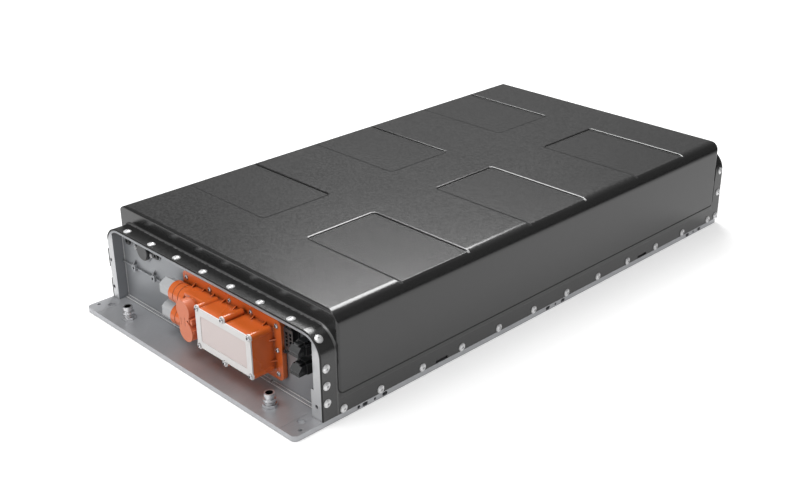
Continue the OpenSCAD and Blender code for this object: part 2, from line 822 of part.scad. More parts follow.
module gutter_section(y, z, direction) {
    translate([y, z]) mirror([direction < 0 ? 1 : 0, 0]) difference() {
        translate([0, -1]) square([gutter_r, gutter_r + 1]);
        translate([gutter_r, gutter_r]) circle(gutter_r);
    }
}

// Space of the six recessed pads, widened by margin and lowered by drop.
module pad_recesses(margin, drop) {
    for (row = [0:module_rows - 1], side = [0, 1])
        mirror([side, 0, 0])
            translate([pad_x - margin, row_y(row) - pad_l / 2 - margin, pack_h - pad_depth - drop])
                linear_extrude(pad_depth + drop + cut)
                    rounded_rect(hood_half, pad_l + 2 * margin, pad_r);
}

module hood() {
    color("#4b4b4b") placed() difference() {
        union() {
            along_y(flange_front, plate_l) arch(side_x, flange_top, flange_r);
            difference() {
                hood_block(0);
                pad_recesses(0, 0);
            }
            gutter(hood_front, -1);
            gutter(hood_rear, 1);
        }
        along_y(flange_front - cut, plate_l + cut) arch(inner_half, flange_top - hood_wall, flange_r - hood_wall);
        difference() {
            hood_block(hood_wall);
            pad_recesses(hood_wall, hood_wall);
        }
        hood_screw_holes();
        for (side = [-1, 1], y = [skirt_notch_front, skirt_notch_front + skirt_notch_pitch])
            translate([side * side_x - 10, y - skirt_notch_l / 2, plate_t - cut])
                cube([20, skirt_notch_l, skirt_notch_h + cut]);
        for (z = left_notch_z)
            translate([-side_x - cut, flange_front - cut, z - flange_notch_h / 2])
                cube([hood_wall + 2 * cut, flange_notch_depth + cut, flange_notch_h]);
    }
}

module hood_screw_holes() {
    for (side = [-1, 1], i = [0:side_screw_count - 1])
        translate([side * side_x, side_screw_y(i), side_screw_z]) rotate([0, 90, 0])
            cylinder(d = clear_d, h = 20, center = true);
    for (z = right_screw_z)
        translate([side_x, screw_y_front, z]) rotate([0, 90, 0]) cylinder(d = clear_d, h = 12, center = true);
    for (z = left_screw_z)
        translate([-side_x, screw_y_front, z]) rotate([0, 90, 0]) cylinder(d = clear_d, h = 12, center = true);
    for (side = [-1, 1], z = rear_screw_z)
        translate([side * side_x, screw_y_rear, z]) rotate([0, 90, 0]) cylinder(d = clear_d, h = 12, center = true);
    for (i = [0:top_screw_count - 1], y = [screw_y_front, screw_y_rear])
        translate([top_screw_x(i), y, flange_top - 6]) cylinder(d = clear_d, h = 12);
    corner_screw_place() cylinder(d = clear_d, h = 12, center = true);
}

// Puts the corner screw's seat on the flange's round corner.
module corner_screw_place() {
    translate([side_x - flange_r, screw_y_front, flange_top - flange_r])
        rotate([0, 90 - corner_screw_angle, 0])
            translate([0, 0, flange_r]) children();
}

module hood_seal() {
    seal_in = 4;
    color("#1d1d1f") placed() difference() {
        union() {
            along_y(flange_front + seal_in, front_frame_end) seal_band();
            along_y(rear_frame_start, plate_l - seal_in) seal_band();
            for (side = [-1, 1])
                translate([side > 0 ? frame_half : -inner_half, front_frame_end, plate_t])
                    cube([seal_gap, rear_frame_start - front_frame_end, rail_h]);
        }
        hood_screw_holes();
    }
}

module seal_band() {
    difference() {
        arch(inner_half, flange_top - hood_wall, flange_r - hood_wall);
        arch(frame_half, frame_top, frame_r);
    }
}

module hood_screw() {
    button_screw(screw_head_d, screw_head_h, screw_d - 1.4, screw_l + hood_wall);
}

module side_screws() {
    color("#e2e3e5") placed()
        for (side = [-1, 1], i = [0:side_screw_count - 1])
            translate([side * side_x, side_screw_y(i), side_screw_z]) rotate([0, side * 90, 0]) hood_screw();
}

module end_flange_screws() {
    color("#e2e3e5") placed() {
        for (z = right_screw_z)
            translate([side_x, screw_y_front, z]) facing_right() hood_screw();
        for (z = left_screw_z)
            translate([-side_x, screw_y_front, z]) facing_left() hood_screw();
        for (side = [-1, 1], z = rear_screw_z)
            translate([side * side_x, screw_y_rear, z]) rotate([0, side * 90, 0]) hood_screw();
        for (i = [0:top_screw_count - 1]) {
            translate([top_screw_x(i), screw_y_front, flange_top]) hood_screw();
            translate([top_screw_x(i), screw_y_rear, flange_top]) hood_screw();
        }
        corner_screw_place() hood_screw();
    }
}

// Vent, plugs and test port on the front wall
module vent_cap() {
    color("#202123") placed() translate([vent_x, wall_front - vent_seat_h, vent_z]) rotate([90, 0, 0]) {
        rotate_extrude() {
            square([vent_d / 2, vent_h - vent_seat_h - 2]);
            square([vent_d / 2 - 2, vent_h - vent_seat_h]);
            translate([0, -vent_seat_h - wall_t]) square([vent_neck_d / 2, vent_seat_h + wall_t + 1]);
        }
        linear_extrude(vent_plate_t) difference() {
            translate([0, -1]) slot(2 * vent_screw_x + 12, 12);
            for (side = [-1, 1])
                translate([side * vent_screw_x, -1]) circle(d = 4.4);
        }
    }
}

module vent_screws() {
    color("#d8d9db") placed()
        for (side = [-1, 1])
            translate([vent_x + side * vent_screw_x, wall_front - vent_seat_h - vent_plate_t, vent_z - 1])
                facing_front() button_screw(9, 3.4, 3.6, 7);
}

module blanking_plugs() {
    color("#1e1f21") placed()
        for (x = blank_x)
            translate([x, wall_front, blank_z]) rotate([90, 0, 0]) difference() {
                union() {
                    cylinder(d = blank_d, h = 4);
                    cylinder(d = blank_d - 4, h = 7);
                    translate([0, 0, -wall_t]) cylinder(d = 11.6, h = wall_t + 1);
                }
                translate([0, 0, 4]) cylinder(d = 8 / cos(30), h = 4, $fn = 6);
            }
}

module test_port_cap() {
    color("#18191a") placed() translate([test_port[0], wall_front, test_port[1]]) rotate([90, 0, 0]) {
        cylinder(d = 10, h = 8);
        cylinder(d = 7, h = 12);
        translate([0, 0, -3]) cylinder(d = 5.8, h = 4);
    }
}

// High-voltage box
module at_hv_columns() {
    for (x = [hv_left + hv_column_in, hv_right - hv_column_in])
        for (z = [hv_bottom + hv_column_drop, hv_top - hv_column_drop])
            translate([x, z]) children();
    for (z = [hv_bottom - hv_column_out, hv_top + hv_column_out])
        translate([hv_mid, z]) children();
}

module hv_box_outline() {
    translate([hv_left, hv_bottom]) square([hv_w, hv_h]);
}

module hv_outline() {
    hv_box_outline();
    at_hv_columns() circle(hv_column_r);
}

// Middles of the screws that hold the box to the wall.
module at_hv_flange_screws() {
    for (x = [hv_flange_left + hv_screw_in, hv_flange_right - hv_screw_in])
        translate([x, hv_flange_top - hv_screw_in]) children();
    for (x = hv_top_screw_x)
        translate([hv_left + x, hv_flange_top - hv_screw_in]) children();
    for (z = hv_right_screw_z)
        translate([hv_flange_right - hv_screw_in, hv_flange_bottom + z]) children();
    for (x = hv_bottom_screw_x)
        translate([hv_left + x, hv_flange_bottom + hv_bottom_screw_in]) children();
}

module gusset_top(x) {
    along_x(x, x + gusset_w) translate([hv_flange_front, hv_top])
        polygon([[1, -1], [-gusset_l, -1], [-gusset_l, 0], [0, gusset_h], [1, gusset_h]]);
}

module gusset_right(z) {
    translate([hv_right, hv_flange_front, z]) linear_extrude(gusset_w)
        polygon([[-1, 1], [-1, -gusset_l], [0, -gusset_l], [gusset_h, 0], [gusset_h, 1]]);
}

// Puts its children on the middles of the plug's two lobes.
module at_lobes() {
    for (side = [-1, 1])
        translate([plug_x + side * plug_lean / 2, plug_z + side * plug_pitch / 2]) children();
}

module lobes(r) {
    half_l = plug_pitch / 2;
    lean = plug_lean / 2;
    at_lobes() circle(r);
    translate([plug_x, plug_z])
        polygon([[-r * 0.8 - lean, -half_l], [r * 0.8 - lean, -half_l], [r * 0.8 + lean, half_l], [-r * 0.8 + lean, half_l]]);
}

module hv_housing() {
    left_top = gland_upper_z + barrel_r;
    left_bottom = gland_lower_z - barrel_r;
    color("#dd5a22") placed() difference() {
        union() {
            along_y(hv_flange_front, wall_front - hv_seal_t)
                translate([hv_flange_left, hv_flange_bottom]) rounded_rect(hv_flange_w, hv_flange_h, hv_flange_r);
            along_y(hv_front, hv_flange_front + 1) hv_box_outline();
            along_y(hv_front, hv_flange_front - hv_rear_gap) hv_outline();
            for (z = [gland_upper_z, gland_lower_z])
                translate([barrel_end, gland_y, z]) rotate([0, 90, 0]) gland_barrel();
            along_x(socket_block_x, hv_left + 1)
                translate([socket_block_front, left_bottom])
                    rounded_rect(hv_flange_front + 1 - socket_block_front, left_top - left_bottom, 4);
            along_y(socket_front, gland_y) lobes(plug_r - 1);
            for (x = gusset_top_x) gusset_top(hv_left + x);
            for (z = gusset_right_z) gusset_right(hv_bottom + z);
        }
        hv_cavity();
        for (z = [gland_upper_z, gland_lower_z])
            translate([barrel_end - cut, gland_y, z]) rotate([0, 90, 0]) cylinder(d = gland_bore + 8, h = 30);
        along_y(hv_front - cut, hv_front + 14) at_hv_columns() circle(d = small_screw_d - 0.8);
        along_y(hv_flange_front - cut, wall_front) at_hv_flange_screws() circle(d = small_screw_d + 0.6);
    }
}

module gland_barrel() {
    rotate_extrude() {
        square([barrel_r - 1, socket_block_x - barrel_end + 1]);
        for (k = [0:2])
            translate([0, k * barrel_ring_pitch]) square([barrel_r, barrel_ring_pitch - 2]);
    }
}

module hv_cavity() {
    along_y(hv_front - cut, wall_front + cut)
        translate([hv_left + hv_wall, hv_bottom + hv_wall])
            difference() {
                square([hv_w - 2 * hv_wall, hv_h - 2 * hv_wall]);
                translate([-hv_left - hv_wall, -hv_bottom - hv_wall]) at_hv_columns() circle(hv_column_r - 2);
            }
    // Cable space behind the service socket, open to the main chamber
    translate([socket_block_x + hv_wall, gland_y - 12, gland_lower_z - 14])
        cube([hv_left - socket_block_x + 1, 24, gland_pitch + 28]);
    along_y(socket_front - cut, gland_y) at_lobes() circle(9);
    for (z = [gland_upper_z, gland_lower_z])
        translate([barrel_end - cut, gland_y, z]) rotate([0, 90, 0]) cylinder(d = gland_bore, h = 70);
}

module hv_seal() {
    color("#1b1b1c") placed() along_y(wall_front - hv_seal_t, wall_front) difference() {
        translate([hv_flange_left, hv_flange_bottom]) rounded_rect(hv_flange_w, hv_flange_h, hv_flange_r);
        translate([hv_left + hv_wall, hv_bottom + hv_wall]) square([hv_w - 2 * hv_wall, hv_h - 2 * hv_wall]);
        at_hv_flange_screws() circle(d = small_screw_d + 0.6);
    }
}

module hv_cover() {
    inset = 16;
    color("#e3e2e1") placed() difference() {
        along_y(hv_front - hv_cover_t, hv_front) hv_outline();
        along_y(hv_front - hv_cover_t - cut, hv_front - hv_cover_t + hv_inset_depth)
            translate([hv_left + inset, hv_bottom + inset]) rounded_rect(hv_w - 2 * inset, hv_h - 2 * inset, 7);
        along_y(hv_front - 2 * hv_cover_t, hv_front + cut) at_hv_columns() circle(d = small_screw_d + 0.6);
    }
}

module hv_cover_screws() {
    color("#cfd0d2") placed() translate([0, hv_front - hv_cover_t, 0]) rotate([90, 0, 0]) at_hv_columns()
        button_screw(small_head_d + 1, small_head_h + 1, small_screw_d - 1, 14);
}

module hv_flange_screws() {
    color("#cfd0d2") placed() translate([0, hv_flange_front, 0]) rotate([90, 0, 0]) at_hv_flange_screws()
        button_screw(small_head_d, small_head_h + 0.6, small_screw_d - 1, hv_flange_t + 4);
}

module gland_nut(z) {
    color("#b4b6b8") placed() translate([barrel_end, gland_y, z]) rotate([0, -90, 0]) difference() {
        union() {
            cylinder(d = gland_hex / cos(30), h = gland_l - 6, $fn = 6);
            translate([0, 0, gland_l - 6]) cylinder(d1 = gland_hex - 1, d2 = gland_hex - 8, h = 6);
            translate([0, 0, -18]) cylinder(d = gland_bore + 7.6, h = 19);
        }
        translate([0, 0, -20]) cylinder(d = gland_bore, h = gland_l + 22);
    }
}

module gland_nut_upper() {
    gland_nut(gland_upper_z);
}

module gland_nut_lower() {
    gland_nut(gland_lower_z);
}

module gland_seals() {
    color("#2a2a2c") placed()
        for (z = [gland_upper_z, gland_lower_z])
            translate([barrel_end, gland_y, z]) rotate([0, -90, 0]) translate([0, 0, 6]) difference() {
                cylinder(d = gland_bore, h = 18);
                translate([0, 0, -cut]) cylinder(d = gland_bore - 6, h = 20);
            }
}

// Service plug and the parts inside the box
module service_plug() {
    pin_l = 14;
    color("#e07a50") placed() difference() {
        union() {
            along_y(plug_front, plug_back) lobes(plug_r);
            along_y(plug_back, plug_back + pin_l) at_lobes() circle(8.6);
            translate([plug_x + plug_r - 8, plug_front + 2, plug_z - 2]) cube([10, plug_t - 4, 12]);
            translate([plug_x + plug_r - 6, plug_front + 4, plug_z - 24]) cube([10, plug_t - 6, 9]);
        }
        along_y(plug_front - cut, plug_front + 0.8) translate([plug_x, plug_z]) {
            translate([-12, -12]) square([1.2, 17]);
            translate([2, -11]) square([1.2, 20]);
        }
        // Thumb hole and lever slot in the front face
        along_y(plug_front - cut, plug_front + 5) translate([plug_x, plug_z]) {
            translate([-22, -3]) rotate(-55) slot(12, 6);
            translate([17, -1]) rotate(-40) slot(19, 5);
        }
        along_y(plug_back - 2, plug_back + pin_l + cut) at_lobes() square([9, 3], center = true);
    }
}

module service_contacts() {
    color("#c8813f") placed()
        along_y(plug_back - 2, plug_back + 20) at_lobes() square([9, 3], center = true);
}

module contactor() {
    body_w = 44;
    body_d = 42;
    body_h = contactor_h - 9;
    rounded_block(body_w, body_d, body_h, 4);
    translate([4, 4, body_h]) cube([body_w - 8, body_d - 8, 4]);
    for (x = [12, body_w - 12])
        translate([x, body_d / 2, body_h]) cylinder(d = 10, h = 9);
}

module rounded_block(w, d, h, r) {
    linear_extrude(h) rounded_rect(w, d, r);
}

module main_contactors() {
    color("#2b2c2e") placed()
        for (x = contactor_x)
            translate([x, hv_front + 8, hv_bottom + hv_wall]) contactor();
}

module main_fuse() {
    fuse_x = hv_left + 142;
    color("#e6e1d2") placed() translate([fuse_x, hv_front + 28, hv_bottom + hv_wall]) {
        cylinder(d = 30, h = contactor_h - 9);
        cylinder(d = 12, h = contactor_h);
    }
}

// A copper bar from a contactor through the wall, up behind it and out to a module.
module hv_busbar(x, side) {
    w = 18;
    stud_z = hv_bottom + hv_wall + contactor_h;
    riser_y = wall_back + 40;
    end_x = side * module_x;
    post_y = row_y(0) - link_post_y;
    translate([x - w / 2, hv_front + 18, stud_z]) cube([w, riser_y - hv_front - 18 + link_t, link_t]);
    translate([x - w / 2, riser_y, stud_z]) cube([w, link_t, tray_top + link_t - stud_z]);
    translate([min(x, end_x) - w / 2, riser_y, tray_top]) cube([abs(x - end_x) + w, w, link_t]);
    translate([end_x - w / 2, riser_y, tray_top]) cube([w, post_y - riser_y + w / 2, link_t]);
    translate([end_x, post_y, busbar_top]) cylinder(d = link_post_d, h = tray_top - busbar_top + 1);
}

module hv_busbars() {
    color("#c77a3a") placed() {
        hv_busbar(contactor_x[1] + 12, 1);
        hv_busbar(contactor_x[0] + 12, -1);
        translate([hv_left + 98, hv_front + 20, hv_bottom + hv_wall + contactor_h]) cube([52, 18, link_t]);
    }
}

// Signal connectors
module signal_wall_holes() {
    translate([header_x + 6, header_z + 6]) square([header_w - 12, header_h - 12]);
    for (k = [0, 1])
        translate([signal_x + 5, signal_upper_z - k * signal_pitch + 5]) square([signal_w - 10, signal_h - 10]);
}

module signal_header() {
    rows = 4;
    column_pitch = 12;
    first_z = header_z + header_h / 2 - (rows - 1) / 2 * cavity_pitch;
    color("#1c1d1f") placed() difference() {
        union() {
            translate([header_x, wall_front - header_depth, header_z]) cube([header_w, header_depth, header_h]);
            translate([header_x - 1, wall_front - 4, header_z - 3]) cube([header_w + 2, 4, header_h + 6]);
            translate([header_x + 7, wall_front - 1, header_z + 7]) cube([header_w - 14, wall_t + 7, header_h - 14]);
            translate([header_x + header_w / 2 - 6, wall_front - header_depth + 3, header_z + header_h - 1])
                cube([12, header_depth - 6, 5]);
        }
        for (row = [0:rows - 1], side = [-1, 1])
            translate([header_x + (header_w + side * column_pitch - cavity) / 2, wall_front - header_depth - cut,
                first_z + row * cavity_pitch - cavity / 2])
                cube([cavity, 11, cavity]);
    }
}

// A plug with a latch on top: its rear end sits in the header's shroud.
module signal_plug(z) {
    front = wall_front - signal_l;
    body_l = signal_l - shroud_l;
    latch_x = signal_x + signal_w / 2;
    color("#1a1b1d") placed() difference() {
        union() {
            along_x(signal_x, signal_x + signal_w) translate([front, z])
                polygon([[0, 0], [body_l, 0], [body_l, signal_h], [8, signal_h], [5, signal_h - 4],
                    [0, signal_h / 2]]);
            translate([signal_x + 0.3, front + 12, z + 0.3]) cube([signal_w - 0.6, signal_l - 16.3, signal_h - 0.6]);
            translate([latch_x - 6, front + 8, z + signal_h - 1]) cube([12, body_l - 2, 4]);
            translate([latch_x - 8, front + 9, z + signal_h + 2]) cube([16, 4, 2.5]);
        }
        for (k = [0, 1])
            translate([signal_x - cut, front - cut, z + 2.4 + k * 3.2]) cube([signal_w + 2 * cut, 1.2 + cut, 1.2]);
        for (k = [0:2])
            translate([signal_x + signal_w - 0.8, front + 4 + k * 4, z + 3]) cube([1, 1.6, signal_h / 2 - 4]);
    }
}

module signal_plug_upper() {
    signal_plug(signal_upper_z);
}

module signal_plug_lower() {
    signal_plug(signal_upper_z - signal_pitch);
}

// The two shrouded headers that the plugs are latched into.
module signal_frames() {
    edge = 1.5;
    color("#242528") placed()
        for (k = [0, 1])
            translate([signal_x, wall_front, signal_upper_z - k * signal_pitch]) difference() {
                union() {
                    translate([-edge, -shroud_l, -edge])
                        cube([signal_w + 2 * edge, shroud_l, signal_h + 2 * edge]);
                    translate([-5, -4, -5]) cube([signal_w + 10, 4, signal_h + 10]);
                    translate([6, -1, 6]) cube([signal_w - 12, wall_t + 7, signal_h - 12]);
                    translate([signal_w / 2 - 10, -shroud_l, signal_h]) cube([20, shroud_l, 6]);
                }
                translate([0, -shroud_l - cut, 0]) cube([signal_w, shroud_l - 4 + cut, signal_h]);
                translate([signal_w / 2 - 8.5, -shroud_l - cut, signal_h - 1]) cube([17, shroud_l - 6, 5.6]);
            }
}

module battery_controller() {
    depth = 22;
    color("#303236") placed() difference() {
        translate([controller_x, wall_back + 6, controller_z]) {
            rotate([90, 0, 0]) mirror([0, 0, 1]) linear_extrude(depth) rounded_rect(controller_w, controller_h, 6);
            translate([10, depth, 12]) cube([controller_w - 20, 3, controller_h - 24]);
            for (k = [0:5])
                translate([12 + k * (controller_w - 28) / 5, depth + 2, 16]) cube([4, 6, controller_h - 32]);
            for (x = [-ear_w + 1, controller_w - 1], z = [8, controller_h - 22])
                translate([x, -6, z]) cube([ear_w, 10, 14]);
        }
        controller_screw_places() translate([0, 0, -30]) cylinder(d = 4.4, h = 60);
    }
}

module controller_screw_places() {
    for (x = [-ear_w / 2, controller_w + ear_w / 2], z = [15, controller_h - 15])
        translate([controller_x + x, wall_back + 10, controller_z + z]) rotate([-90, 0, 0]) children();
}

module controller_screws() {
    color("#c9cacc") placed() controller_screw_places()
        button_screw(8, 3, 4, 14);
}

// Modules
function column_x(k) = (k < 3 ? 1 : -1) * module_x;
function row_y(k) = front_frame_end + front_bay_l + ((k < 3 ? k : 5 - k) + 0.5) * module_pitch;

module at_module(k) {
    placed() translate([column_x(k), row_y(k), 0]) children();
}

module cell() {
    difference() {
        translate([-cell_w / 2, -cell_t / 2, cell_bottom]) cube([cell_w, cell_t, cell_h]);
        translate([0, 0, cell_top - 0.6]) linear_extrude(2) slot(30, 14);
    }
    for (side = [-1, 1])
        translate([side * terminal_x, 0, cell_top - 1]) cylinder(d = terminal_d, h = terminal_h + 1);
}

function cell_y(i) = (i - (cell_rows - 1) / 2) * (cell_t + cell_gap);

module cells(k) {
    color("#3f6fa8") at_module(k)
        for (side = [-1, 1], i = [0:cell_rows - 1])
            translate([side * (cell_w / 2 + 1), cell_y(i), 0]) cell();
}

module cells_1() { cells(0); }
module cells_2() { cells(1); }
module cells_3() { cells(2); }
module cells_4() { cells(3); }
module cells_5() { cells(4); }
module cells_6() { cells(5); }

module module_frame(k) {
    color("#9fa3a8") at_module(k) difference() {
        translate([-module_w / 2, -module_l / 2, plate_t]) cube([module_w, module_l, frame_h]);
        translate([side_plate_t - module_w / 2, -cells_l / 2, 0])
            cube([module_w - 2 * side_plate_t, cells_l, pack_h]);
        for (x = [-1, 1], y = [-1, 1])
            translate([x * bolt_x, y * (module_l - end_plate_t) / 2, 0]) cylinder(d = module_bolt_d + 1, h = pack_h);
        for (side = [-1, 1])
            translate([-module_w / 2 - cut, 0, plate_t + frame_h / 2])
                rotate([90, 0, 90]) linear_extrude(module_w + 2 * cut)
                    translate([side * cells_l / 4, 0]) slot(120, 60);
    }
}

module module_frame_1() { module_frame(0); }
module module_frame_2() { module_frame(1); }
module module_frame_3() { module_frame(2); }
module module_frame_4() { module_frame(3); }
module module_frame_5() { module_frame(4); }
module module_frame_6() { module_frame(5); }

module module_tray(k) {
    tray_w = module_w - 8;
    tray_l = cells_l - 2;
    color("#2e3a36") at_module(k) difference() {
        translate([-tray_w / 2, -tray_l / 2, cell_top])
            linear_extrude(tray_top - cell_top) rounded_rect(tray_w, tray_l, 4);
        translate([tray_t - tray_w / 2, tray_t - tray_l / 2, cell_top - cut])
            cube([tray_w - 2 * tray_t, tray_l - 2 * tray_t, tray_top - cell_top - tray_t + cut]);
        for (y = [-1, 1])
            translate([0, y * link_post_y, cell_top]) cylinder(d = link_post_d + 1, h = 30);
    }
}

module module_tray_1() { module_tray(0); }
module module_tray_2() { module_tray(1); }
module module_tray_3() { module_tray(2); }
module module_tray_4() { module_tray(3); }
module module_tray_5() { module_tray(4); }
module module_tray_6() { module_tray(5); }

// Busbars on the cell terminals: pairs in series, and a comb at each module end.
module cell_busbars() {
    color("#b9bcc0")
        for (k = [0:5]) at_module(k) translate([0, 0, terminal_top]) {
            for (side = [-1, 1], i = [0:cell_rows - 2]) {
                x = side * (cell_w / 2 + 1) + (i % 2 == 0 ? terminal_x : -terminal_x);
                translate([x - 10, cell_y(i) - 10, 0]) cube([20, cell_t + cell_gap + 20, busbar_t]);
            }
            end_comb(cell_y(0), -terminal_x, 1);
            end_comb(cell_y(cell_rows - 1), cell_rows % 2 == 0 ? -terminal_x : terminal_x, -1);
        }
}

module end_comb(y, x, direction) {
    span = cell_w + 2;
    spine = direction * 18;
    for (side = [-1, 1])
        translate([side * (cell_w / 2 + 1) + x - 10, min(y, y + spine), 0]) cube([20, 18, busbar_t]);
    translate([-span / 2 - 10 + x, y + spine - 4, 0]) cube([span + 20, 8, busbar_t]);
}

module module_links() {
    color("#c77a3a") placed() {
        link(0, 1);
        link(1, 2);
        link(3, 4);
        link(4, 5);
        cross_link();
    }
}

// Joins the two columns behind the last row.
module cross_link() {
    y = row_y(2) + link_post_y;
    translate([-module_x - link_w / 2, y - link_w / 2, tray_top]) cube([2 * module_x + link_w, link_w, link_t]);
    for (side = [-1, 1])
        translate([side * module_x, y, busbar_top]) cylinder(d = link_post_d, h = tray_top - busbar_top + 1);
}

module link(a, b) {
    ya = row_y(a) + (row_y(b) > row_y(a) ? 1 : -1) * link_post_y;
    yb = row_y(b) + (row_y(b) > row_y(a) ? -1 : 1) * link_post_y;
    translate([column_x(a) - link_w / 2, min(ya, yb) - link_w / 2, tray_top])
        cube([link_w, abs(yb - ya) + link_w, link_t]);
    for (y = [ya, yb])
        translate([column_x(a), y, busbar_top]) cylinder(d = link_post_d, h = tray_top - busbar_top + 1);
}

module module_bolts() {
    color("#8d9094") placed()
        for (k = [0:5], x = [-1, 1], y = [-1, 1])
            translate([column_x(k) + x * bolt_x, row_y(k) + y * (module_l - end_plate_t) / 2, plate_t + frame_h])
                difference() {
                    union() {
                        cylinder(d = 13, h = 7);
                        translate([0, 0, -frame_h - 3.5]) cylinder(d = module_bolt_d - 1.4, h = frame_h + 4);
                    }
                    translate([0, 0, 3]) cylinder(d = 6 / cos(30), h = 5, $fn = 6);
                }
}

module thermal_pads() {
    color("#d9c7cf")
        for (k = [0:5]) at_module(k)
            translate([side_plate_t - module_w / 2, -cells_l / 2, plate_t])
                cube([module_w - 2 * side_plate_t, cells_l, thermal_pad_t]);
}

base_plate();
channel_cover();
coolant_inlet();
coolant_outlet();
front_frame();
rear_frame();
side_rail_left();
side_rail_right();
hood();
hood_seal();
side_screws();
end_flange_screws();
vent_cap();
vent_screws();
blanking_plugs();
hv_housing();
hv_seal();
hv_cover();
hv_cover_screws();
hv_flange_screws();
gland_nut_upper();
gland_nut_lower();
gland_seals();
service_plug();
service_contacts();
main_contactors();
main_fuse();
hv_busbars();
signal_header();
signal_plug_upper();
signal_plug_lower();
signal_frames();
test_port_cap();
battery_controller();
controller_screws();
cells_1();
cells_2();
cells_3();
cells_4();
cells_5();
cells_6();
module_frame_1();
module_frame_2();
module_frame_3();
module_frame_4();
module_frame_5();
module_frame_6();
module_tray_1();
module_tray_2();
module_tray_3();
module_tray_4();
module_tray_5();
module_tray_6();
cell_busbars();
module_links();
module_bolts();
thermal_pads();
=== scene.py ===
"""Looks of a traction battery pack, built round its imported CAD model."""
import math

import bpy
from mathutils import Matrix, Vector


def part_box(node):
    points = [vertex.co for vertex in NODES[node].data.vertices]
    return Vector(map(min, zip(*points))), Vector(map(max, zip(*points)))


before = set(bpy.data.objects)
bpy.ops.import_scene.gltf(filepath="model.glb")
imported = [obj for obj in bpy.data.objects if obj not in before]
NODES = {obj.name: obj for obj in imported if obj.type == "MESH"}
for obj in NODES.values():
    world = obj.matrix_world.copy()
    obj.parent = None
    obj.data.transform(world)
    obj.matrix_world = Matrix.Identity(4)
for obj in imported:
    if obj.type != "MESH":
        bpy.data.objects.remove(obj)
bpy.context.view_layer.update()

SCENE = bpy.context.scene

# Lengths are in metres. FAR stands for an open end, TINY keeps a division off zero.
FAR, TINY = 5.0, 1e-6

# On the hood, places along Y count from the plate's front end and places along X from the middle.
PLATE_TO_FLANGE = 0.072
PAD_ROW, PAD_PITCH, PAD_INNER = 0.393, 0.394, 0.075
PAD_HALF, PAD_CORNER = (0.5, 0.0975), 0.008
PANEL_FRONT, PANEL_REAR, PANEL_FOOT = 0.114, 1.425, 0.048
PANEL_HALF_TALL, PANEL_CORNER = 0.25, 0.012
SHOULDER_LEAN = 0.36

# On the front frame, places along Y count from the plate's front end too.
POST_FRONTS = 0.08
STEP_EDGES = ((0.0890, 0.0912), (0.0950, 0.0972))
STEP_HEIGHTS = (0.0005, 0.014)
CORNER_X, CORNER_Y = (0.3475, 0.3505), (0.0970, 0.1)

BORE_EDGE = (0.0078, 0.0084)
COVER_INSET, COVER_INSET_MORE = 0.0185, 0.008

# Brightness of the studio in reflections: a direction, the cosines to it at which the brightness
# starts and ends changing, and the brightness before and after.
SECTORS = (
    ((0.7, -0.7, 0.15), -0.6, 0.4, 0.33, 1.0),
    ((0.72, 0.63, 0.3), 0.45, 0.85, 1.0, 0.25),
    ((-0.7, -0.5, 0.5), 0.45, 0.85, 1.0, 0.4),
)
DIM_LIGHT = 0.27

# Lamps: name, place, aim, size, watts.
LAMPS = (
    ("overhead", (0.1, -1.7, 3.2), (0, -0.5, 0.1), (1.6, 1.6), 58.0),
    ("softbox", (-1.4, 1.5, 2.8), (0.1, 0.0, 0.2), (1.6, 1.5), 85.0),
    ("front", (-1.0, -3.2, 1.7), (0, -0.5, 0.1), (2.2, 1.2), 25.0),
)

# The photograph's viewpoint: degrees, metres, and the focal length in pixels of its width.
AZIMUTH, ELEVATION, ROLL = 45.988, 25.244, -0.498
CAMERA_PLACE = (1.82948, -1.85402, 1.26346)
FOCAL_PIXELS, PHOTO_WIDTH, SENSOR_WIDTH = 1160.57, 800, 36.0


def srgb(code):
    """Linear colour of a six-digit sRGB code."""
    out = []
    for i in (0, 2, 4):
        c = int(code[i:i + 2], 16) / 255
        out.append(c / 12.92 if c <= 0.04045 else ((c + 0.055) / 1.055) ** 2.4)
    return (*out, 1.0)


